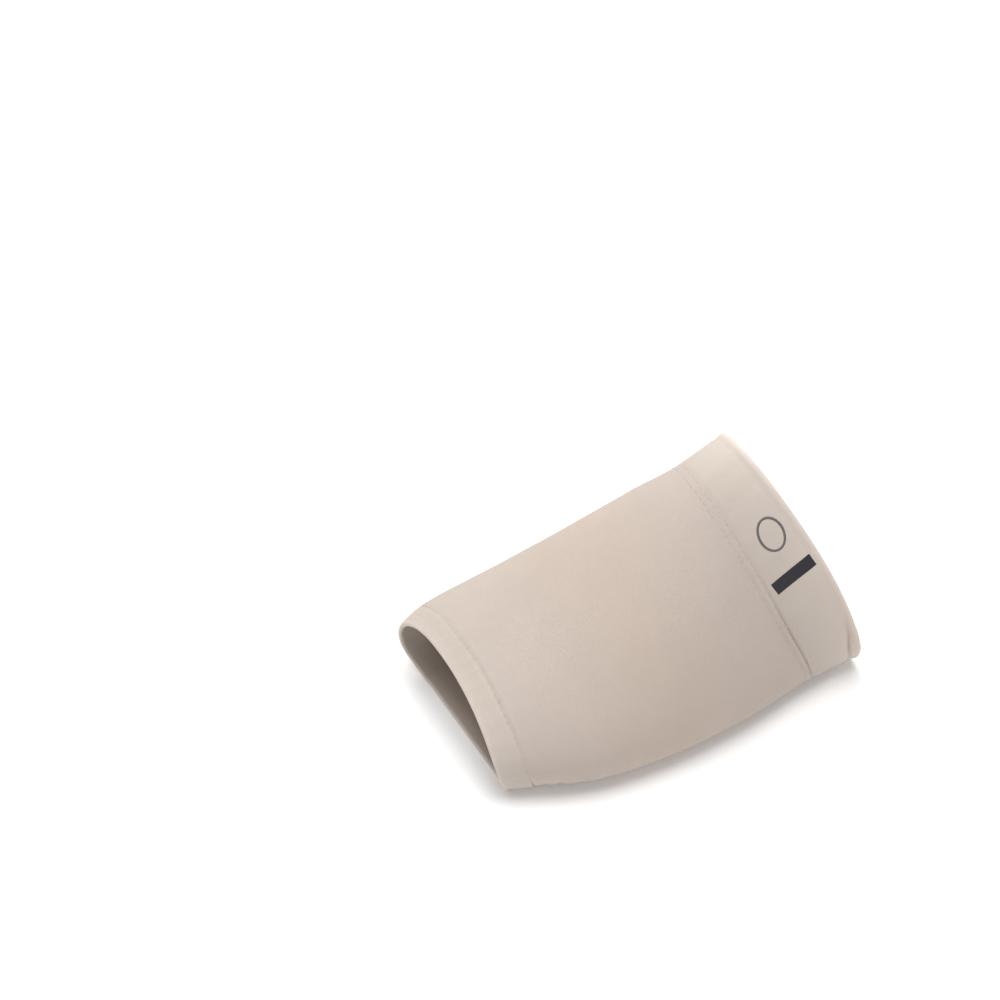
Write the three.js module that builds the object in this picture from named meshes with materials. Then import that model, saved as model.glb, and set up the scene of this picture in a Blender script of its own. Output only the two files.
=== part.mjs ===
// Arch support sleeve, left-sided: a stretch-knit tube, open at both ends, in the form it takes when worn.
// A folded hem finishes the toe end, and a wide double cuff is sewn to the ankle end.
//
// Millimetres. +X is the outer, lateral side, +Y points from the toe end to the ankle end and +Z is up.
// The origin is on the inside of the sole, half-way along it.
import * as THREE from "three";

// Fabric
const WALL = 1.2; // the tube's single layer of knit
const HEM_WALL = 1.8; // the toe hem, where the knit is turned in and stitched down
const CUFF_WALL = 2.0; // the ankle cuff, two layers of knit
const BAND_PROUD = 0.4; // how far the hem and the cuff stand out past the tube
const SEAM_GAP = 0.3; // between the edges that a seam holds together

// The worn form, which is the tube's inner face, at sections from the toe end to the ankle end.
//   y             where the section meets the sole
//   slant         how far back it lies for each millimetre to the lateral side
//   lean          how far its crest stands forward of its sole
//   bow           how far it bulges back half-way up
//   height        of the crest above the sole, and crest is the crest's place across the sleeve
//   lateral       the widest point on the lateral side, at the height lateralZ
//   medial        the widest point on the medial side, at the height medialZ
//   treadLateral  the edges of the sole's flat tread; the arch lifts the medial one
//   treadMedial
//   arch          fullness of the curve from there up to the medial side
// A fullness of 2 is an ellipse, more is boxier and less is closer to a straight line.
const COLUMNS = [
  "place", "y", "slant", "lean", "bow", "height", "crest",
  "lateral", "lateralZ", "medial", "medialZ", "treadLateral", "treadMedial", "arch",
];
const SECTIONS = [
  ["toe edge", -67.7, 0.065, 2.4, -3.6, 27.5, -14, 29.5, 10, -39, 14, 24, -26, 2.2],
  ["hem seam", -59, 0.065, 3.6, -3.2, 31.5, -14, 34, 11, -42, 16, 25, -28, 2.2],
  ["ball", -38, 0, 4, 0, 42, -14, 41, 12, -42, 18, 28, -22, 2.0],
  ["waist", -10, 0, 9, 0, 56, -13, 42, 13, -37, 22, 29, -4, 1.6],
  ["instep", 20, 0, 17, 0, 68.3, -11, 38.5, 15, -33, 26, 25, -2, 1.5],
  ["cuff seam", 50, 0.04, 29.6, -1.5, 76.2, -8, 31.5, 18, -31, 30, 19, -8, 1.7],
  ["ankle edge", 67.3, 0.08, 31.7, 3.5, 85.8, -6, 28.5, 20, -31, 32, 16, -13, 1.9],
].map((row) => Object.fromEntries(row.map((value, column) => [COLUMNS[column], value])));
const place = (name) => SECTIONS.findIndex((section) => section.place === name);
const TOE_EDGE = place("toe edge");
const HEM_SEAM = place("hem seam");
const CUFF_SEAM = place("cuff seam");
const ANKLE_EDGE = place("ankle edge");
const LATERAL_CORNER = 2.2; // fullness where the sole turns up to the lateral side
const LATERAL_ROOF = 1.9; // fullness of the instep's long slope down to that side
const MEDIAL_ROOF = 2.4; // fullness of the instep's steeper medial side

// Facets round each stretch of a section, and along each band
const FACETS = { tread: 8, lateralCorner: 8, lateralRoof: 16, medialRoof: 12, arch: 12 };
const AROUND = Object.values(FACETS).reduce((sum, count) => sum + count);
const HEM_STEPS = 2;
const TUBE_STEPS = 16;
const CUFF_STEPS = 4;
const FOLD_STEPS = 4;

// A quarter of a rounded outline, from its upright end at the side to its level end at the middle.
function quarter(side, middle, fullness, facets) {
  return Array.from({ length: facets + 1 }, (_, k) => {
    const turn = ((Math.PI / 2) * k) / facets;
    return {
      x: middle.x + (side.x - middle.x) * Math.cos(turn) ** (2 / fullness),
      z: side.z + (middle.z - side.z) * Math.sin(turn) ** (2 / fullness),
    };
  });
}

// One section as a ring of points: across the tread, up the lateral side, over the crest and down the arch.
function sectionRing(section) {
  const lateral = { x: section.lateral, z: section.lateralZ };
  const medial = { x: section.medial, z: section.medialZ };
  const crest = { x: section.crest, z: section.height };
  const treadLateral = { x: section.treadLateral, z: 0 };
  const treadMedial = { x: section.treadMedial, z: 0 };
  const tread = Array.from({ length: FACETS.tread + 1 }, (_, k) => ({
    x: THREE.MathUtils.lerp(treadMedial.x, treadLateral.x, k / FACETS.tread),
    z: 0,
  }));
  const stretches = [
    tread,
    quarter(lateral, treadLateral, LATERAL_CORNER, FACETS.lateralCorner).reverse(),
    quarter(lateral, crest, LATERAL_ROOF, FACETS.lateralRoof),
    quarter(medial, crest, MEDIAL_ROOF, FACETS.medialRoof).reverse(),
    quarter(medial, treadMedial, section.arch, FACETS.arch),
  ];
  return stretches
    .flatMap((stretch) => stretch.slice(0, -1))
    .map(({ x, z }) => {
      const rise = z / section.height;
      const back = section.slant * x - section.lean * rise + section.bow * Math.sin(Math.PI * rise);
      return new THREE.Vector3(x, section.y + back, z);
    });
}

// The form's surface: at each place round it, one smooth curve from end to end through the sections.
const rings = SECTIONS.map(sectionRing);
const ribs = rings[0].map((_, i) => new THREE.CatmullRomCurve3(rings.map((ring) => ring[i])));

function formPoint(i, station) {
  const point = ribs[(i + AROUND) % AROUND].getPoint(station / ANKLE_EDGE);
  point.z = Math.max(point.z, 0);
  return point;
}

// A point of the fabric: off the form by offset, past its station by along, and no lower than floor.
function fabricPoint(i, { station, along, offset, floor }) {
  const reach = 0.02;
  const before = formPoint(i, Math.max(station - reach, TOE_EDGE));
  const after = formPoint(i, Math.min(station + reach, ANKLE_EDGE));
  const onward = after.sub(before).normalize();
  const round = formPoint(i + 1, station).sub(formPoint(i - 1, station));
  const outward = new THREE.Vector3().crossVectors(onward, round).normalize();
  const point = formPoint(i, station).addScaledVector(onward, along).addScaledVector(outward, offset);
  point.z = Math.max(point.z, floor);
  return point;
}

// A closed ring of fabric: a closed profile of fabric points, carried round the form.
function bandGeometry(profile) {
  const positions = [];
  const triangles = [];
  profile.forEach((corner, j) => {
    const row = j * AROUND;
    const nextRow = ((j + 1) % profile.length) * AROUND;
    for (let i = 0; i < AROUND; i++) {
      const next = (i + 1) % AROUND;
      positions.push(...fabricPoint(i, corner).toArray());
      triangles.push(row + i, nextRow + next, row + next);
      triangles.push(row + i, nextRow + i, nextRow + next);
    }
  });
  const geometry = new THREE.BufferGeometry();
  geometry.setAttribute("position", new THREE.Float32BufferAttribute(positions, 3));
  geometry.setIndex(triangles);
  geometry.computeVertexNormals();
  return geometry;
}

// The profile of a band from one section to another: along its outer face and back along its inner face.
// A sewn edge stops half a seam gap short of its section, and a folded edge is rounded off there.
function bandProfile({ from, to, steps, wall, proud, foldStart, foldEnd }) {
  const outer = WALL + proud;
  const trim = (folded) => (folded ? wall / 2 : SEAM_GAP / 2);
  const face = (depth) =>
    Array.from({ length: steps + 1 }, (_, k) => {
      const station = THREE.MathUtils.lerp(from, to, k / steps);
      const along = k === 0 ? trim(foldStart) : k === steps ? -trim(foldEnd) : 0;
      return { station, along, offset: outer - depth, floor: depth - WALL };
    });
  const fold = (station, way) =>
    Array.from({ length: FOLD_STEPS - 1 }, (_, k) => {
      const turn = (Math.PI * (k + 1)) / FOLD_STEPS;
      const depth = (wall / 2) * (1 - way * Math.cos(turn));
      const along = (way * wall * (Math.sin(turn) - 1)) / 2;
      return { station, along, offset: outer - depth, floor: depth - WALL };
    });
  return [
    ...face(0),
    ...(foldEnd ? fold(to, 1) : []),
    ...face(wall).reverse(),
    ...(foldStart ? fold(from, -1) : []),
  ];
}

const sleeve = new THREE.Group();

function addBand(name, color, band) {
  const knit = new THREE.MeshStandardMaterial({ color, roughness: 0.92, metalness: 0 });
  const mesh = new THREE.Mesh(bandGeometry(bandProfile(band)), knit);
  mesh.name = name;
  sleeve.add(mesh);
}

addBand("toe_hem", 0xd6cabf, {
  from: TOE_EDGE,
  to: HEM_SEAM,
  steps: HEM_STEPS,
  wall: HEM_WALL,
  proud: BAND_PROUD,
  foldStart: true,
  foldEnd: false,
});

addBand("sleeve_tube", 0xd0c0b3, {
  from: HEM_SEAM,
  to: CUFF_SEAM,
  steps: TUBE_STEPS,
  wall: WALL,
  proud: 0,
  foldStart: false,
  foldEnd: false,
});

addBand("ankle_cuff", 0xc9beb3, {
  from: CUFF_SEAM,
  to: ANKLE_EDGE,
  steps: CUFF_STEPS,
  wall: CUFF_WALL,
  proud: BAND_PROUD,
  foldStart: false,
  foldEnd: true,
});

export default sleeve;
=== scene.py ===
import math

import bmesh
import bpy
import numpy as np
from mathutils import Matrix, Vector


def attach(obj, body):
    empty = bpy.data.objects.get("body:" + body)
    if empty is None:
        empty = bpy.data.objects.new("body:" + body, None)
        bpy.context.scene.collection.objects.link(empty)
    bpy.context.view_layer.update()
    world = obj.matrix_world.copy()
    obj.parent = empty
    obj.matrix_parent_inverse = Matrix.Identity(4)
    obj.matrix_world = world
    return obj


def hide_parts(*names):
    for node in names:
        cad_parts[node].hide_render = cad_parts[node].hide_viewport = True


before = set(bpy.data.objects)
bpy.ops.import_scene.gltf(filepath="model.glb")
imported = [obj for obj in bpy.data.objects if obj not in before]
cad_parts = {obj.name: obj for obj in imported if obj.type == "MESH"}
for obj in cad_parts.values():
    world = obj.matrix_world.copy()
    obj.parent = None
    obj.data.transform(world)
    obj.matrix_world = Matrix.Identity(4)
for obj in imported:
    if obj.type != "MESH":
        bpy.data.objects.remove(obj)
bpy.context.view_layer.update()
bpy.ops.object.select_all(action="DESELECT")

# Sleeve tube
# The body of the sleeve: one layer of fine nylon and elastane jersey, knitted round as a tube.
# Worn, it is stretched smooth, with a few small puckers low down where the hem holds it in.

MM = 0.001
FLOOR = -1.2 * MM  # the underside of the sole
FACETS = 56  # round the sleeve, in each row of a packed band
COLUMNS = 6 * FACETS  # in the finer net of knit that is laid over them
SAME_CORNER = 1e-6  # metres, within which two corners of a packed band are one
SEAM_GAP = 0.3 * MM  # that the solids leave along a seam
TUBE_WALL = 1.2 * MM
TUBE_COLOURS = [
    (0.6, 0.52, 0.463),  # toe end
    (0.602, 0.501, 0.431),  # middle
    (0.582, 0.504, 0.449),  # ankle end, a little darker: partly painted shade along the cuff seam
]
WALES = 280  # columns of stitches round the sleeve
COURSE = 0.65 * MM  # from one row of stitches to the next


def outer_rows(node_name, fold_rows):
    """A band's outer face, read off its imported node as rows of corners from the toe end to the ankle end.
    Each row goes once round: from the medial side over the instep, then down the lateral side and under
    the sole. Of the rows that aren't on a fold, half lie on the outer face and half on the inner one."""
    mesh = bmesh.new()
    mesh.from_mesh(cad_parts[node_name].data)
    bmesh.ops.remove_doubles(mesh, verts=mesh.verts, dist=SAME_CORNER)
    mesh.normal_update()
    turn = {v: {c.link_loop_next.vert: c.link_loop_prev.vert for c in v.link_loops} for v in mesh.verts}

    def straight_on(first, second):
        line = [first, second]
        while True:
            ahead = line[-2]
            for _ in range(3):  # half-way round the six neighbours
                ahead = turn[line[-1]][ahead]
            if ahead == first:
                return line
            line.append(ahead)

    widest = min(mesh.verts, key=lambda v: v.co.x)
    lines = [straight_on(widest, neighbour) for neighbour in turn[widest]]
    rib = next(line for line in lines if len(line) == len(mesh.verts) // FACETS)
    outermost = sorted(rib, key=lambda v: v.normal.x)[:(len(rib) - fold_rows) // 2]
    rows = []
    for start in sorted(outermost, key=lambda v: v.co.y):
        rings = [straight_on(start, neighbour) for neighbour in turn[start]]
        up_first = next(ring for ring in rings if len(ring) == FACETS and ring[1].co.z > start.co.z)
        rows.append([tuple(v.co) for v in up_first])
    mesh.free()
    return np.array(rows)


def smooth_shares(places, count, closed):
    """How much each of count rows adds to the smooth curve through them, at places along it."""
    first = np.floor(places).astype(int)
    if not closed:
        first = np.clip(first, 0, count - 2)
    t = places - first
    cubic = np.array([
        2 * t**2 - t - t**3,
        2 - 5 * t**2 + 3 * t**3,
        t + 4 * t**2 - 3 * t**3,
        t**3 - t**2,
    ]) / 2
    shares = np.zeros((len(places), count))
    for line, start in enumerate(first):
        for step, share in zip((-1, 0, 1, 2), cubic[:, line]):
            row = start + step
            if closed:
                shares[line, row % count] += share
            elif 0 <= row < count:
                shares[line, row] += share
            else:  # past an end the curve runs straight on
                end, inner = (0, 1) if row < 0 else (count - 1, count - 2)
                shares[line, end] += 2 * share
                shares[line, inner] -= share
    return shares


def unit(vectors):
    """The vectors made one long."""
    return vectors / np.linalg.norm(vectors, axis=-1, keepdims=True)


class Net:
    """A fine net over a band's outer face. Its rows lie close millimetres apart within close_at_toe and
    close_at_ankle of its ends, and wide apart between them. Its sewn ends meet the next band. from_toe and
    to_ankle are distances to the ends in millimetres, facet counts the solid's facets from the medial side,
    and turn goes from 0 to 1 round the sleeve."""

    def __init__(self, rows, close, wide, close_at_toe, close_at_ankle, sewn):
        rows = rows.copy()
        if "toe" in sewn:
            rows[0] += unit(rows[0] - rows[1]) * SEAM_GAP / 2
        if "ankle" in sewn:
            rows[-1] += unit(rows[-1] - rows[-2]) * SEAM_GAP / 2
        steps = np.linalg.norm(np.diff(rows, axis=0), axis=2).mean(1) / MM
        reach = np.concatenate([[0], np.cumsum(steps)])
        length = reach[-1]
        middle = length - close_at_toe - close_at_ankle
        marks = np.concatenate([
            np.linspace(0, close_at_toe, round(close_at_toe / close), endpoint=False),
            np.linspace(close_at_toe, length - close_at_ankle, round(middle / wide), endpoint=False),
            np.linspace(length - close_at_ankle, length, round(close_at_ankle / close) + 1),
        ])
        along = smooth_shares(np.interp(marks, reach, np.arange(len(rows))), len(rows), closed=False)
        self.facet = np.arange(COLUMNS)[None, :] * FACETS / COLUMNS
        around = smooth_shares(self.facet[0], FACETS, closed=True)
        self.points = np.einsum("ar,rfx,cf->acx", along, rows, around)
        self.points[..., 2] = np.maximum(self.points[..., 2], FLOOR)
        self.ahead = unit(np.gradient(self.points, axis=0))
        round_sleeve = np.roll(self.points, -1, axis=1) - np.roll(self.points, 1, axis=1)
        self.outward = unit(np.cross(round_sleeve, self.ahead))
        paces = np.linalg.norm(np.diff(self.points, axis=0), axis=2) / MM
        self.from_toe = np.concatenate([np.zeros((1, COLUMNS)), np.cumsum(paces, axis=0)])
        self.to_ankle = self.from_toe[-1] - self.from_toe
        paces = np.linalg.norm(np.roll(self.points, -1, axis=1) - self.points, axis=2)
        self.girth = paces.sum(1)
        self.turn = (np.cumsum(paces, axis=1) - paces) / self.girth[:, None]

    def raised(self, height, depth=0.0):
        """The net's points moved out by height millimetres, on the face that lies depth metres in."""
        points = self.points + self.outward * (height * MM - depth)[..., None]
        points[..., 2] = np.maximum(points[..., 2], FLOOR + depth)
        return points

    def at(self, column, from_toe):
        """The point of the finished face in a column, that far from the toe end, and the way out there."""
        row = np.interp(from_toe, self.from_toe[:, column], np.arange(len(self.face)))
        low = min(int(row), len(self.face) - 2)
        step = self.face[low + 1, column] - self.face[low, column]
        return self.face[low, column] + step * (row - low), self.outward[low, column]


def swell(distance, centre, width):
    """A soft bump, 1 high at its centre, that falls to about a third a width away."""
    return np.exp(-(((distance - centre) / width) ** 2))


INNER_EVERY = 3  # the inner face has every third of the outer face's rows
FOLD_RINGS = 8  # of points, round a folded edge
BUTT_ANGLE = math.radians(60)  # a sharper turn is a sewn edge, which butts against the next band


def knit_band(name, net, wall, worn, sewn, folded_end=None):
    """A closed band of knit. Both its faces follow worn, and the outer one alone follows sewn. The net
    keeps the length of the band's profile, once round the wall, and the fold's place as a share of it."""
    net.face = outer = net.raised(worn + sewn)
    inner_rows = sorted(set(range(0, len(outer), INNER_EVERY)) | {len(outer) - 1})
    inner = net.raised(worn, wall)[inner_rows]

    def edge(end, beyond):
        top, bottom = outer[end], inner[end]
        if folded_end != beyond:
            return [(top + bottom) / 2]
        way = net.ahead[end] * (1 if beyond == "ankle" else -1)
        rings = []
        for angle in np.linspace(0, math.pi, FOLD_RINGS + 2)[1:-1]:
            ring = (top + bottom) / 2 + (top - bottom) / 2 * math.cos(angle)
            ring = ring + way * wall / 2 * math.sin(angle)
            ring[:, 2] = np.maximum(ring[:, 2], FLOOR + wall * (1 - math.cos(angle)) / 2)
            rings.append(ring)
        return rings

    rings = np.array([*outer, *edge(-1, "ankle"), *inner[::-1], *edge(0, "toe")[::-1]])
    row, column = np.meshgrid(np.arange(len(rings)), np.arange(COLUMNS), indexing="ij")
    corners = [(row, column), (row, column + 1), (row + 1, column + 1), (row + 1, column)]
    faces = np.stack([r % len(rings) * COLUMNS + c % COLUMNS for r, c in corners], -1)
    mesh = bpy.data.meshes.new(name)
    mesh.from_pydata(rings.reshape(-1, 3).tolist(), [], faces.reshape(-1, 4).tolist())
    across = np.append(net.turn.mean(0), 1.0)
    gaps = np.linalg.norm(np.roll(rings, -1, axis=0) - rings, axis=2).mean(1)
    profile = np.concatenate([[0], np.cumsum(gaps)])
    net.profile = profile[-1]
    net.fold = None
    if folded_end:
        half = FOLD_RINGS // 2
        net.fold = profile[len(outer) + half if folded_end == "ankle" else -1 - half] / net.profile
    places = np.stack([np.stack([across[c], profile[r] / net.profile], -1) for r, c in corners], 2)
    mesh.uv_layers.new(name="knit").data.foreach_set("uv", places.astype(np.float32).ravel())
    mesh.shade_smooth()
    mesh.set_sharp_from_angle(angle=BUTT_ANGLE)
    band = bpy.data.objects.new(name, mesh)
    bpy.context.scene.collection.objects.link(band)
    return band


COLOUR_A, COLOUR_B, COLOUR_OUT = 6, 7, 2  # a Mix node's sockets for colours


class Shade:
    """A socket of a material. Arithmetic on it adds Math nodes, and add() adds any other node."""

    def __init__(self, tree, socket=None):
        self.tree, self.socket = tree, socket

    def add(self, kind, settings=None, inputs=None, output=0):
        node = self.tree.nodes.new(kind)
        for name, value in (settings or {}).items():
            setattr(node, name, value)
        for name, value in (inputs or {}).items():
            if isinstance(value, Shade):
                self.tree.links.new(value.socket, node.inputs[name])
            else:
                node.inputs[name].default_value = value
        return Shade(self.tree, node.outputs[output])

    def math(self, operation, *values):
        return self.add("ShaderNodeMath", {"operation": operation}, dict(enumerate(values)))

    def __add__(self, other):
        return self.math("ADD", self, other)

    def __sub__(self, other):
        return self.math("SUBTRACT", self, other)

    def __mul__(self, other):
        return self.math("MULTIPLY", self, other)

    def __radd__(self, other):
        return self.math("ADD", other, self)

    def __rsub__(self, other):
        return self.math("SUBTRACT", other, self)

    def __rmul__(self, other):
        return self.math("MULTIPLY", other, self)

    def __abs__(self):
        return self.math("ABSOLUTE", self)

    def fraction(self):
        return self.math("FRACT", self)

    def held(self):
        """This value, kept from going below 0 or above 1."""
        return self.add("ShaderNodeClamp", None, {"Value": self})

    def mix(self, first, second):
        """From the first colour to the second as this value goes from 0 to 1, and on past it."""
        settings = {"data_type": "RGBA", "clamp_factor": False}
        return self.add("ShaderNodeMix", settings, {0: self, COLOUR_A: first, COLOUR_B: second}, COLOUR_OUT)


def speckle(shade, scale, detail):
    """Noise from 0 to 1 that stays put on the object, with scale in spots to the metre."""
    place = shade.add("ShaderNodeTexCoord", output="Object")
    return shade.add("ShaderNodeTexNoise", None, {"Vector": place, "Scale": scale, "Detail": detail})


def matte_cloth(name, finish, bloom=0.15):
    """A material with a soft bloom of fibres. finish(shade) gives its colour, roughness, relief and the
    relief's height in metres."""
    material = bpy.data.materials.new(name)
    material.use_nodes = True
    shader = material.node_tree.nodes["Principled BSDF"]
    shade = Shade(material.node_tree)
    colour, roughness, relief, height = finish(shade)
    bump = shade.add("ShaderNodeBump", None, {"Strength": 0.5, "Distance": height, "Height": relief})
    material.node_tree.links.new(colour.socket, shader.inputs["Base Color"])
    material.node_tree.links.new(roughness.socket, shader.inputs["Roughness"])
    material.node_tree.links.new(bump.socket, shader.inputs["Normal"])
    shader.inputs["Specular IOR Level"].default_value = 0.25
    shader.inputs["Sheen Weight"].default_value = bloom
    shader.inputs["Sheen Roughness"].default_value = 0.45
    shader.inputs["Sheen Tint"].default_value = (1.0, 0.95, 0.9, 1)
    return material


STITCH_LEAN = 1.1  # how far the two sides of a stitch lean, in rows
ROW_DIP = 0.8  # how far a stitch dips at its ends, as a share of its height
FUZZ, CLOUD = (2600, 2), (45, 3)  # fibres and uneven knitting: spots to the metre, and their detail
STITCH_TONE, FUZZ_TONE, CLOUD_TONE = 0.45, 0.35, 0.35  # how much each of them brightens the yarn; the stitches' share leaves painted shade in the hollows
FOLD_HIGHLIGHT_TONE = 0.8  # and the painted highlight along a fold
YARN_BRIGHT = 1.12  # the brightest yarn, as a share of its colour
YARN_ROUGH, YARN_GLOSS = 0.98, 0.12  # its roughness low in the knit, and how much less it is on top
STITCH_RISE, FUZZ_RISE = 0.75, 0.5  # shares of the knit's relief
KNIT_RELIEF = 0.15 * MM


def jersey(name, net, colours, between=0.84, ridge=0.0, rim=0.0, bloom=0.15):
    """Plain knit: columns of stitches whose two sides lean together, in yarn that is a little uneven.
    The yarn goes through the colours from the band's toe end to its ankle end, and between its stitches the
    cloth has
    that share of its brightness: on plain knit, painted shade in the hollows. A ridge is every second row
    of stitches
    standing higher by that share. A rim is the distance to each side of a fold's middle over which the yarn
    is paler:
    a painted highlight along the rolled fold."""

    def finish(shade):
        place = shade.add("ShaderNodeUVMap", {"uv_map": "knit"})
        turn = shade.add("ShaderNodeSeparateXYZ", None, {"Vector": place}, output="X")
        profile = shade.add("ShaderNodeSeparateXYZ", None, {"Vector": place}, output="Y")
        row = profile * (2 * round(net.profile / COURSE / 2))
        from_wale = abs((turn * WALES).fraction() - 0.5)
        side = from_wale * 4 - 1
        loop = (row + from_wale * STITCH_LEAN).fraction() * 2 - 1
        stitch = (1 - side * side) * (1 - loop * loop * ROW_DIP)
        if ridge:
            stitch = stitch * (1 - ridge) + abs((row * 0.5).fraction() * 2 - 1) * ridge
        fuzz = speckle(shade, *FUZZ)
        cloud = speckle(shade, *CLOUD)
        along = 1 - abs(profile * 2 - 1)
        yarn = (*colours[0], 1)
        for step, next_yarn in enumerate(colours[1:]):
            yarn = (along * (len(colours) - 1) - step).held().mix(yarn, (*next_yarn, 1))
        cover = stitch * STITCH_TONE + fuzz * FUZZ_TONE + cloud * CLOUD_TONE
        # Along the fold's middle the yarn is paler: a painted highlight where the rolled fold catches
        # light.
        if rim:
            from_fold = abs((profile - net.fold + 0.5).fraction() - 0.5)
            cover = cover + (1 - from_fold * (net.profile / rim)).held() * FOLD_HIGHLIGHT_TONE
        # From between to the brightest yarn as cover grows: on plain knit the darker hollows between
        # stitches are painted shade, while fuzz and cloud are the yarn's own uneven tone.
        tone = cover.mix((between, between, between, 1), (YARN_BRIGHT, YARN_BRIGHT, YARN_BRIGHT, 1))
        settings = {"data_type": "RGBA", "blend_type": "MULTIPLY"}
        colour = shade.add("ShaderNodeMix", settings, {0: 1.0, COLOUR_A: yarn, COLOUR_B: tone}, COLOUR_OUT)
        roughness = YARN_ROUGH - stitch * YARN_GLOSS
        relief = stitch * STITCH_RISE + fuzz * FUZZ_RISE
        return colour, roughness, relief, KNIT_RELIEF

    return matte_cloth(name, finish, bloom)


# The relief, in millimetres. Facets are counted round the sleeve, and distances from a seam or an edge.
STITCH_PITCH = 2.6  # along the hem and along the cuff seam
HEM_SIDE = 19  # the facet on the lateral slope where the hem's groove is deepest
CUFF_SIDE = 27  # the facet low on the lateral side where the cuff seam's groove is deepest
SOLE_EDGE = 31.5  # the facet where that side turns under the sole
HEM_GROOVE = 0.8  # half the width of the groove along the hem
HEM_EASE, FLAT_EASE = 0.15, 0.3  # how much a groove changes from stitch to stitch, as a share of its depth
ROLL_EASE = 0.3  # how much the roll beside it does
TUBE_ROLL = 0.08  # height of the roll behind the hem
CUFF_ROLL = 0.5  # height of the roll before the cuff seam, as a share of the seam's depth
FLAT_ROW = 2.5  # from the cuff seam to a second row of stitches
FLAT_DEPTH = 0.2  # of the groove along that row, as a share of the seam's depth
SLACK = 0.06  # height of the long low waves all over the tube
SLACK_ROUND = 8  # of those waves round the sleeve
SLACK_DRIFT, SLACK_ALONG = 0.11, 0.17  # how they slant and repeat along it, in radians to the millimetre
SEAM_WAVE = 0.05  # height of the small waves that sewing leaves
HEM_WAVES, CUFF_WAVES = (30, 4), (24, 3)  # how many of them go round the sleeve, and in how many groups
HEM_FADE, CUFF_FADE = 6, 5  # the distance over which they fade on the tube
TUCKS = [(0.5, 0.6), (4.2, 0.8), (9.2, 0.7), (15.0, 0.3)]  # at the sole's edge: from the hem, depth
PUCKERS = [(23, 9, 0.14), (24, 14, 0.12), (25, 20, 0.1)]  # low on the side: facet, from the hem, depth


def hem_depth(net):
    """The depth of the groove along the hem: it shows on the lateral slope and fades elsewhere."""
    shallowest, deeper = 0.06, 0.22
    return shallowest + deeper * swell(net.facet, HEM_SIDE, width=6)


def cuff_depth(net):
    """The depth of the groove along the cuff seam, which is deepest low on the lateral side."""
    shallowest, deeper = 0.05, 0.55
    return shallowest + deeper * swell(net.facet, CUFF_SIDE, width=5.5)


def beat(net, count):
    """A wave along a seam: 1 where the thread dives between two stitches, -1 half-way along a stitch."""
    return np.cos(2 * math.pi * count * net.turn)


def waves(net, count, groups):
    """Uneven waves from -1 to 1, count of them round the sleeve, that crowd together in some groups."""
    angle = 2 * math.pi * net.turn
    return np.sin(count * angle + 2 * np.sin(groups * angle))


tube_rows = outer_rows("sleeve_tube", fold_rows=0)
tube_net = Net(tube_rows, close=0.3, wide=1.5, close_at_toe=4.5, close_at_ankle=4.5, sewn=("toe", "ankle"))
hem_count = round(tube_net.girth[0] / MM / STITCH_PITCH)
cuff_count = round(tube_net.girth[-1] / MM / STITCH_PITCH)
behind_hem, before_cuff = tube_net.from_toe, tube_net.to_ankle
hem_beat = beat(tube_net, hem_count)
hem_groove = hem_depth(tube_net) * swell(behind_hem, centre=0, width=HEM_GROOVE)
sewn = -hem_groove * (1 - HEM_EASE + HEM_EASE * hem_beat)
sewn += TUBE_ROLL * swell(behind_hem, centre=1.7, width=1.0) * (1 - ROLL_EASE * hem_beat)
sewn -= cuff_depth(tube_net) * swell(before_cuff, centre=0, width=0.45)
sewn += CUFF_ROLL * cuff_depth(tube_net) * swell(before_cuff, centre=1.25, width=0.6)
flat_groove = FLAT_DEPTH * cuff_depth(tube_net) * swell(before_cuff, centre=FLAT_ROW, width=0.45)
sewn -= flat_groove * (1 - FLAT_EASE + FLAT_EASE * beat(tube_net, cuff_count))
swirl = 2 * math.pi * SLACK_ROUND * tube_net.facet / FACETS + SLACK_DRIFT * behind_hem
worn = SLACK * np.sin(swirl) * np.sin(SLACK_ALONG * behind_hem - 1)
worn += SEAM_WAVE * np.exp(-behind_hem / HEM_FADE) * waves(tube_net, *HEM_WAVES)
worn += SEAM_WAVE * np.exp(-before_cuff / CUFF_FADE) * waves(tube_net, *CUFF_WAVES)
for place, depth in TUCKS:
    worn -= depth * swell(tube_net.facet, SOLE_EDGE, width=2.2) * swell(behind_hem, place, width=1.6)
for facet, place, depth in PUCKERS:
    worn -= depth * swell(tube_net.facet, facet, width=1.6) * swell(behind_hem, place, width=2.0)

tube = knit_band("knit_tube", tube_net, TUBE_WALL, worn, sewn)
tube.data.materials.append(jersey("tube_jersey", tube_net, TUBE_COLOURS))
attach(tube, "root")
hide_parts("sleeve_tube")

# Toe hem
# The tube's toe end, turned in and stitched down: two layers, about 9 mm wide, with a soft rolled fold.
# A second, fainter crease runs half-way along it, where the inner layer ends.

HEM_WALL = 1.8 * MM
FOLD_ROWS = 3  # of corners, round a folded edge of a packed band
HEM_COLOURS = [(0.634, 0.556, 0.493), (0.597, 0.523, 0.464)]  # fold, seam
# How far to each side of the hem's fold the painted highlight reaches.
HEM_HIGHLIGHT_REACH = 2.0 * MM
HEM_DROP, HEM_SEAM_DROP = 0.25, 0.15  # mm from the solid's face down to the cloth, and further at the seam
HEM_ROLL = 0.06  # height of the roll beside the seam, mm
HEM_CREASE = 0.07  # depth where the inner layer ends, mm
HEM_FOLD = 0.15  # height of the rolled fold, mm

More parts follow.
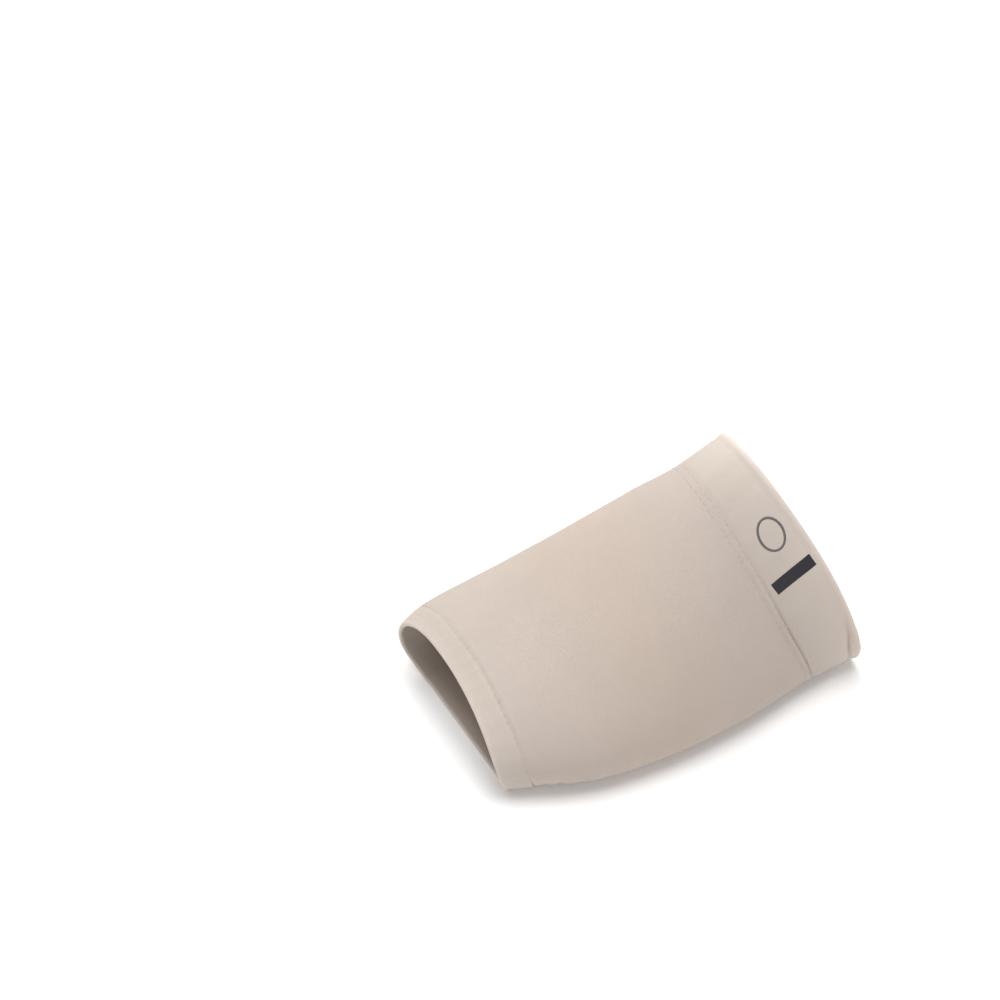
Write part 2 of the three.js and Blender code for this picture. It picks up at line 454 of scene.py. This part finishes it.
hem_rows = outer_rows("toe_hem", FOLD_ROWS)
hem_net = Net(hem_rows, close=0.3, wide=0.35, close_at_toe=2.1, close_at_ankle=2.1, sewn=("ankle",))
from_edge, to_seam = hem_net.from_toe, hem_net.to_ankle
hem_beat = beat(hem_net, hem_count)
hem_groove = hem_depth(hem_net) * swell(to_seam, centre=0, width=HEM_GROOVE)
sewn = -HEM_DROP - HEM_SEAM_DROP * swell(to_seam, centre=0, width=2.5)
sewn -= hem_groove * (1 - HEM_EASE + HEM_EASE * hem_beat)
sewn += HEM_ROLL * swell(to_seam, centre=1.7, width=0.9) * (1 - ROLL_EASE * hem_beat)
sewn -= HEM_CREASE * swell(to_seam, centre=4.6, width=0.5)
sewn += HEM_FOLD * swell(from_edge, centre=0.4, width=0.9)
worn = SEAM_WAVE * waves(hem_net, *HEM_WAVES)
hem = knit_band("hem_band", hem_net, HEM_WALL, worn, sewn, folded_end="toe")
hem.data.materials.append(jersey("hem_jersey", hem_net, HEM_COLOURS, rim=HEM_HIGHLIGHT_REACH))
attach(hem, "root")
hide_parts("toe_hem")

# Hem stitching
# One row of short stitches in soft polyester thread, dyed to match, that holds the hem down.
# It lies in the groove that it pulls in the knit.

THREAD = 0.14 * MM  # radius
THREAD_COLOUR = (0.62, 0.53, 0.465)
THREAD_SHADE = 0.9  # brightness between its plies, as a share of that
THREAD_RELIEF = 0.08 * MM
THREAD_ROUGH, THREAD_GLOSS = 0.9, 0.15  # its roughness between the plies, and how much less it is on top
PLIES, TWISTS = 2, 3  # how many plies, and how often one comes up along a stitch
PLY_DIP, THREAD_FUZZ = 0.8, 0.2  # how deep the plies' gaps are, and how much fuzz covers them
STITCH = 1.9 * MM
STITCH_OUT, STITCH_DIVE = 0.2, 2.0  # thread radii that a stitch stands out, and that its ends go in
SEAM_INSET = 0.05  # mm from the tube's edge to the stitches in its seam


def line_round(net, from_toe):
    """The closed line on a band's face, that far from its toe end, and the way out along it."""
    ends = np.broadcast_to(from_toe, COLUMNS)
    points, outward = zip(*(net.at(column, ends[column]) for column in range(COLUMNS)))
    return np.array(points), np.array(outward)


def part_way(values, reach, where):
    """A closed line's points, or the ways out along it, at distances where. reach is each point's own."""
    closed = np.append(values, values[:1], axis=0)
    return np.stack([np.interp(where % reach[-1], reach, closed[:, x]) for x in range(3)], -1)


def sew(name, lines, count):
    """Rows of stitches, each a short thread that comes out of the knit, lies along the line and dives."""
    rows, sides = 9, 6
    bend = np.linspace(-1, 1, rows)
    angle = np.arange(sides) * 2 * math.pi / sides
    points, faces, places = [], [], []
    for line, outward in lines:
        paces = np.linalg.norm(np.roll(line, -1, axis=0) - line, axis=1)
        reach = np.concatenate([[0], np.cumsum(paces)])
        for stitch in range(count):
            where = (stitch + 0.5) * reach[-1] / count + bend * STITCH / 2
            out = unit(part_way(outward, reach, where))
            rise = THREAD * (STITCH_OUT - STITCH_DIVE * bend[:, None] ** 6)
            spine = part_way(line, reach, where) + out * rise
            way = unit(np.gradient(spine, axis=0))
            side = unit(np.cross(way, out))
            up = np.cross(side, way)
            across = np.cos(angle)[None, :, None] * side[:, None]
            spokes = across + np.sin(angle)[None, :, None] * up[:, None]
            rings = spine[:, None] + THREAD * spokes
            rings[..., 2] = np.maximum(rings[..., 2], FLOOR)
            start = len(points) * rows * sides
            points.append(rings.reshape(-1, 3))
            for row in range(rows - 1):
                for corner in range(sides):
                    after = (corner + 1) % sides
                    low, high = start + row * sides, start + (row + 1) * sides
                    faces.append((low + corner, high + corner, high + after, low + after))
                    places += [(corner, row), (corner, row + 1), (corner + 1, row + 1), (corner + 1, row)]
            for end in (range(sides), range(rows * sides - 1, rows * sides - sides - 1, -1)):
                faces.append([start + corner for corner in end])
                places += [(corner, 0) for corner in range(sides)]
    mesh = bpy.data.meshes.new(name)
    mesh.from_pydata(np.concatenate(points).tolist(), [], faces)
    twist = np.array(places) / (sides, rows - 1)
    mesh.uv_layers.new(name="twist").data.foreach_set("uv", twist.astype(np.float32).ravel())
    mesh.shade_smooth()
    stitches = bpy.data.objects.new(name, mesh)
    bpy.context.scene.collection.objects.link(stitches)
    return stitches


def thread_finish(shade):
    """Two plies that wind round each other, with a little fuzz."""
    place = shade.add("ShaderNodeUVMap", {"uv_map": "twist"})
    round_thread = shade.add("ShaderNodeSeparateXYZ", None, {"Vector": place}, output="X")
    along_thread = shade.add("ShaderNodeSeparateXYZ", None, {"Vector": place}, output="Y")
    ply = abs((round_thread * PLIES + along_thread * TWISTS).fraction() * 2 - 1)
    cover = 1 - ply * ply * PLY_DIP + speckle(shade, scale=3000, detail=2) * THREAD_FUZZ
    dark = tuple(THREAD_SHADE * part for part in THREAD_COLOUR)
    colour = cover.mix((*dark, 1), (*THREAD_COLOUR, 1))
    roughness = THREAD_ROUGH - cover * THREAD_GLOSS
    return colour, roughness, cover, THREAD_RELIEF


thread = matte_cloth("matching_thread", thread_finish)
hem_thread = sew("hem_stitches", [line_round(tube_net, SEAM_INSET)], hem_count)
hem_thread.data.materials.append(thread)
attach(hem_thread, "root")

# Ankle cuff
# A wide band of the same jersey folded double, sewn to the tube along its front edge.
# Its free edge is the fold, which rolls a little. Low on the lateral side it stands off and creases.

CUFF_WALL = 2.0 * MM
CUFF_COLOURS = [(0.592, 0.517, 0.459), (0.71, 0.62, 0.55)]  # seam, fold; the paler fold end is partly the cuff's own tone, partly painted light
# How far to each side of the cuff's fold the painted highlight reaches.
CUFF_HIGHLIGHT_REACH = 3.0 * MM
CUFF_STRETCH = 0.95 * MM  # how much further back than the solid's the fold is drawn over the instep
CUFF_SLOPE = 14  # the facet where it is drawn furthest
CUFF_DROP, CUFF_SEAM_DROP = 0.2, 0.2  # mm from the solid's face down to the cloth, and further at the seam
CUFF_FRONT_ROLL = 0.1  # height of the roll behind the seam, mm
CUFF_FOLD, CUFF_FOLD_DIP = 0.2, 0.08  # height of the rolled fold and depth of the dip beside it, mm
FLARE, FLARE_FACET = 1.6, 29  # how far the fold stands off, mm, and where
CREASE, CREASE_FACET = 1.4, 29.5  # the crease's depth, mm, and where it is deepest
CREASE_FACETS, CREASE_TO_FOLD = (25.7, 29.0), (1.0, 2.9)  # two places on it, and mm from them to the fold
CUFF_RIDGE = 0.15

cuff_rows = outer_rows("ankle_cuff", FOLD_ROWS)
stretch = CUFF_STRETCH * swell(np.arange(FACETS), CUFF_SLOPE, width=5.5)
cuff_rows[-1] += unit(cuff_rows[-1] - cuff_rows[-2]) * stretch[:, None]
cuff_net = Net(cuff_rows, close=0.3, wide=0.55, close_at_toe=4.0, close_at_ankle=5.0, sewn=("toe",))
from_seam, to_edge = cuff_net.from_toe, cuff_net.to_ankle
sewn = -CUFF_DROP - CUFF_SEAM_DROP * swell(from_seam, centre=0, width=3.0)
sewn -= cuff_depth(cuff_net) * swell(from_seam, centre=0, width=0.5)
sewn += CUFF_FRONT_ROLL * swell(from_seam, centre=1.9, width=1.0)
sewn += CUFF_FOLD * swell(to_edge, centre=0.4, width=0.9)
sewn -= CUFF_FOLD_DIP * swell(to_edge, centre=2.6, width=0.9)
crease = np.interp(cuff_net.facet, CREASE_FACETS, CREASE_TO_FOLD)
sewn -= CREASE * swell(cuff_net.facet, CREASE_FACET, width=2.6) * swell(to_edge, crease, width=0.5)
worn = SEAM_WAVE * waves(cuff_net, *CUFF_WAVES)
worn += FLARE * swell(cuff_net.facet, FLARE_FACET, width=3.2) * swell(to_edge, centre=-0.5, width=1.8)
cuff = knit_band("cuff_band", cuff_net, CUFF_WALL, worn, sewn, folded_end="ankle")
cuff.data.materials.append(jersey("cuff_jersey", cuff_net, CUFF_COLOURS, ridge=CUFF_RIDGE, rim=CUFF_HIGHLIGHT_REACH))
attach(cuff, "root")
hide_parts("ankle_cuff")

# Cuff stitching
# Two rows of the same polyester thread: one in the seam itself, which joins the cuff to the tube,
# and one on the tube, 2.5 mm before it, which holds the seam flat.

seam_line = line_round(tube_net, tube_net.from_toe[-1] - SEAM_INSET)
flat_line = line_round(tube_net, tube_net.from_toe[-1] - FLAT_ROW)
cuff_thread = sew("cuff_stitches", [seam_line, flat_line], cuff_count)
cuff_thread.data.materials.append(thread)
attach(cuff_thread, "root")

# Printed marks
# A thin ring and a solid bar in dark grey ink, printed on the cuff's lateral side. The ink lies on the
# yarn and leaves the hollows between stitches lighter. The cuff's stretch round the instep widens the ring.

BAR_INK, RING_INK = (0.028, 0.026, 0.03), (0.11, 0.102, 0.102)  # the thin ring is paler
INK_HOLLOWS = 2.2  # brightness between the yarn, as a share of the ink's
INK_HEIGHT = 0.03 * MM  # above the knit
INK_FILM = 2.5 * INK_HEIGHT  # thickness, which reaches down into the knit
RING_TURN, RING_FROM_SEAM = 0.387, 10.7  # its middle: the share of the way round, and mm from the seam
RING_ROUND, RING_ALONG, RING_LINE = 6.4, 4.7, 0.85  # outer half sizes and the line's width, mm
BAR_TURN, BAR_FROM_SEAM = 0.4535, 10.7
BAR_ROUND, BAR_ALONG = 5.0, 16.6  # mm
BAR_LEAN = math.radians(6.8)  # its end at the fold leans up towards the instep


def press_on(print_piece, ink, net, turn, from_toe):
    """Lays a flat print, drawn in millimetres with x round the sleeve and y along it, on a band's face."""
    across = net.turn.mean(0)
    mesh = print_piece.data
    places = []
    for vertex in mesh.vertices:
        share, distance = turn + vertex.co.x * MM / net.girth.mean(), from_toe + vertex.co.y
        column = np.interp(share, across, np.arange(COLUMNS))
        left, left_out = net.at(int(column), distance)
        right, right_out = net.at(int(column) + 1, distance)
        between = column - int(column)
        out = left_out + (right_out - left_out) * between
        vertex.co = left + (right - left) * between + out * INK_HEIGHT
        places.append((share, distance * MM / net.profile))
    knit = mesh.uv_layers.get("knit") or mesh.uv_layers.new(name="knit")
    for loop in mesh.loops:
        knit.data[loop.index].uv = places[loop.vertex_index]
    mesh.materials.append(jersey(print_piece.name + "_ink", net, [ink], between=INK_HOLLOWS, bloom=0.0))
    solidify = print_piece.modifiers.new("film", "SOLIDIFY")
    solidify.thickness = INK_FILM
    bpy.ops.object.modifier_apply(modifier="film")
    mesh.shade_smooth()
    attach(print_piece, "root")


bpy.ops.mesh.primitive_circle_add(vertices=128, radius=1, fill_type="NGON")
ring = bpy.context.object
ring.name = "printed_ring"
bpy.ops.object.mode_set(mode="EDIT")
bpy.ops.mesh.select_all(action="SELECT")
bpy.ops.transform.resize(value=(RING_ROUND, RING_ALONG, 1))
bpy.ops.mesh.inset(thickness=RING_LINE)
bpy.ops.mesh.delete(type="FACE")
bpy.ops.object.mode_set(mode="OBJECT")
press_on(ring, RING_INK, cuff_net, RING_TURN, RING_FROM_SEAM)

bpy.ops.mesh.primitive_grid_add(x_subdivisions=14, y_subdivisions=44, size=1)
bar = bpy.context.object
bar.name = "printed_bar"
bpy.ops.object.mode_set(mode="EDIT")
bpy.ops.mesh.select_all(action="SELECT")
bpy.ops.transform.resize(value=(BAR_ROUND, BAR_ALONG, 1))
bpy.ops.transform.rotate(value=-BAR_LEAN, orient_axis="Z", center_override=(0, 0, 0))
bpy.ops.object.mode_set(mode="OBJECT")
press_on(bar, BAR_INK, cuff_net, BAR_TURN, BAR_FROM_SEAM)

# Studio
# A plain white floor under the sole, an even white sky, and two large soft lights: one straight overhead
# and a weaker one on the medial side. The floor glows a little, and more where the lights don't reach.

FLOOR_WIDTH = 40
FLOOR_CLEAR = 0.05 * MM  # below the sole
NEAR, FAR = 0.2, 2.2  # metres from the sleeve
GLOW_NEAR, GLOW_FAR = 0.13, 0.66  # the floor's own light there
SKY_LIGHT = 0.34
LIGHT_SIZE = 1.2
LIGHTS = [  # name, place, watts
    ("overhead_light", (0, 0, 1.6), 20),
    ("medial_light", (-1.13, 0, 1.13), 7.8),
]

bpy.ops.mesh.primitive_plane_add(size=FLOOR_WIDTH, location=(0, 0, FLOOR - FLOOR_CLEAR))
floor = bpy.context.object
floor.name = "studio_floor"
paper = bpy.data.materials.new("white_paper")
paper.use_nodes = True
paper_shader = paper.node_tree.nodes["Principled BSDF"]
paper_shader.inputs["Base Color"].default_value = (0.95, 0.95, 0.95, 1)
paper_shader.inputs["Roughness"].default_value = 0.9
paper_shader.inputs["Emission Strength"].default_value = 1.0
shade = Shade(paper.node_tree)
spot = shade.add("ShaderNodeTexCoord", output="Object")
distance = shade.add("ShaderNodeVectorMath", {"operation": "LENGTH"}, {0: spot}, output="Value")
reach = {"Value": distance, "From Min": NEAR, "From Max": FAR, "To Min": GLOW_NEAR, "To Max": GLOW_FAR}
glow = shade.add("ShaderNodeMapRange", None, reach)
paper.node_tree.links.new(glow.socket, paper_shader.inputs["Emission Color"])
floor.data.materials.append(paper)

sky = bpy.data.worlds.new("white_sky")
sky.use_nodes = True
sky.node_tree.nodes["Background"].inputs["Color"].default_value = (1, 1, 1, 1)
sky.node_tree.nodes["Background"].inputs["Strength"].default_value = SKY_LIGHT
bpy.context.scene.world = sky

for name, place, power in LIGHTS:
    bpy.ops.object.light_add(type="AREA", location=place)
    light = bpy.context.object
    light.name = name
    light.rotation_euler = (-Vector(place)).to_track_quat("-Z", "Y").to_euler()
    light.data.shape = "DISK"
    light.data.size = LIGHT_SIZE
    light.data.energy = power

# Camera
# It stands in front of the lateral side and looks down on the sleeve, at the photograph's angle.
# It aims past the medial side, so that the sleeve lies low on the right of the picture, as it does there.

AIM = Vector((-0.0584, -0.0283, 0.0439))  # the point in the middle of the picture
AZIMUTH, ELEVATION, DISTANCE = math.radians(65), math.radians(43), 1.1
SENSOR, LENS = 36, 114.84  # mm
level = Vector((math.sin(AZIMUTH), -math.cos(AZIMUTH), 0))
to_camera = level * math.cos(ELEVATION) + Vector((0, 0, math.sin(ELEVATION)))
facing = (math.pi / 2 - ELEVATION, 0, AZIMUTH)
bpy.ops.object.camera_add(location=AIM + to_camera * DISTANCE, rotation=facing)
camera = bpy.context.object
camera.name = "camera"
camera.data.sensor_width = SENSOR
camera.data.lens = LENS
bpy.context.scene.camera = camera
bpy.context.scene.view_settings.view_transform = "Standard"
